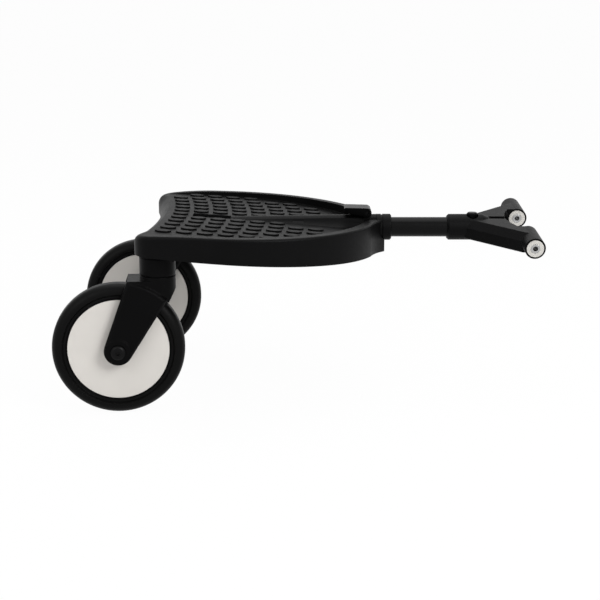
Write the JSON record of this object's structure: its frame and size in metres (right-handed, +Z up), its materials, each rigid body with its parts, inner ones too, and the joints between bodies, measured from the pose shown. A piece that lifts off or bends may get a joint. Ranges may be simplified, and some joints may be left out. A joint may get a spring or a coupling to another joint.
{
  "type": "buggy board",
  "caption": "Black ride-on board for a pushchair: a dished moulded deck on swivel casters, with a telescoping draw tube, a cam lock lever and a forked hitch that pivots on cross barrels.",
  "frame": {"origin": "on the ground under the middle of the overall length and width", "axes": "+X forward to the hitch, +Y to the rider's left, +Z up"},
  "size_m": [0.4752, 0.2786, 0.1818],
  "materials": {
    "deck_plastic": "satin moulded black plastic with a fine grain",
    "tread_plastic": "the same black plastic, moulded as low grip pads",
    "fork_plastic": "satin glass-filled black plastic",
    "hitch_plastic": "satin glass-filled black plastic",
    "tube_coat": "semi-gloss black powder coat on steel tube",
    "lever_plastic": "glossy black moulded plastic",
    "tyre_rubber": "smooth black soft rubber",
    "wheel_plastic": "smooth off-white plastic, semi-gloss",
    "bush_plastic": "natural white nylon",
    "steel": "plain zinc-plated steel",
    "black_steel": "black oxide steel"
  },
  "bodies": {
    "hitch_pins": {"hitch_sleeves": "steel"},
    "hitch": {"hitch_fork": "hitch_plastic", "hitch_bushes": "bush_plastic", "prong_screws": "black_steel"},
    "tube": {"draw_tube": "tube_coat", "tube_plug": "deck_plastic", "button_spring": "steel"},
    "release_button": {"release_button": "lever_plastic"},
    "deck": {"deck_shell": "deck_plastic", "right_tread_pads": "tread_plastic", "left_tread_pads": "tread_plastic", "nose_collar": "deck_plastic", "rear_guide": "bush_plastic", "belly_cover": "deck_plastic", "cover_screws": "black_steel", "stop_screw": "black_steel", "lever_pin": "black_steel", "brake_shoe": "bush_plastic", "right_swivel_housing": "fork_plastic", "left_swivel_housing": "fork_plastic", "right_swivel_bushes": "bush_plastic", "left_swivel_bushes": "bush_plastic"},
    "lock_lever": {"lock_lever": "lever_plastic"},
    "right_caster": {"right_caster_fork": "fork_plastic", "right_stem": "steel", "right_stem_clip": "steel", "right_axle_bolt": "black_steel", "right_axle_nut": "black_steel"},
    "right_wheel": {"right_tyre": "tyre_rubber", "right_wheel_rim": "fork_plastic", "right_wheel_covers": "wheel_plastic", "right_hub_bushes": "bush_plastic"},
    "left_caster": {"left_caster_fork": "fork_plastic", "left_stem": "steel", "left_stem_clip": "steel", "left_axle_bolt": "black_steel", "left_axle_nut": "black_steel"},
    "left_wheel": {"left_tyre": "tyre_rubber", "left_wheel_rim": "fork_plastic", "left_wheel_covers": "wheel_plastic", "left_hub_bushes": "bush_plastic"}
  },
  "joints": [
    {"name": "hitch_pitch", "type": "hinge", "parent": "hitch_pins", "child": "hitch", "pos_m": [0.22746, 0, 0.1602], "axis": [0, 0.9968, 0.0802], "range_deg": [-12, 80]},
    {"name": "hitch_roll", "type": "hinge", "parent": "hitch", "child": "tube", "pos_m": [0.17, 0, 0.1602], "axis": [1, 0, 0], "range_deg": [-3.4, 12.6]},
    {"name": "button_press", "type": "slide", "parent": "tube", "child": "release_button", "axis": [0, 0, -1], "range_m": [0, 0.0053], "stiffness_N_per_m": 800, "springref_m": -0.002, "deforming": ["button_spring"]},
    {"name": "tube_slide", "type": "slide", "parent": "tube", "child": "deck", "axis": [1, 0, 0], "range_m": [-0.045, 0.05]},
    {"name": "lever_open", "type": "hinge", "parent": "deck", "child": "lock_lever", "pos_m": [0.068, 0, 0.1766], "axis": [0, 1, 0], "range_deg": [0, 80]},
    {"name": "right_swivel", "type": "hinge", "parent": "deck", "child": "right_caster", "pos_m": [-0.1354, -0.105, 0.1315], "axis": [0, 0, 1], "continuous": true},
    {"name": "right_spin", "type": "hinge", "parent": "right_caster", "child": "right_wheel", "pos_m": [-0.17405, -0.10838, 0.0635], "axis": [-0.0872, 0.9962, 0], "continuous": true},
    {"name": "left_swivel", "type": "hinge", "parent": "deck", "child": "left_caster", "pos_m": [-0.1354, 0.105, 0.1315], "axis": [0, 0, 1], "continuous": true},
    {"name": "left_spin", "type": "hinge", "parent": "left_caster", "child": "left_wheel", "pos_m": [-0.17405, 0.10162, 0.0635], "axis": [-0.0872, 0.9962, 0], "continuous": true}
  ]
}
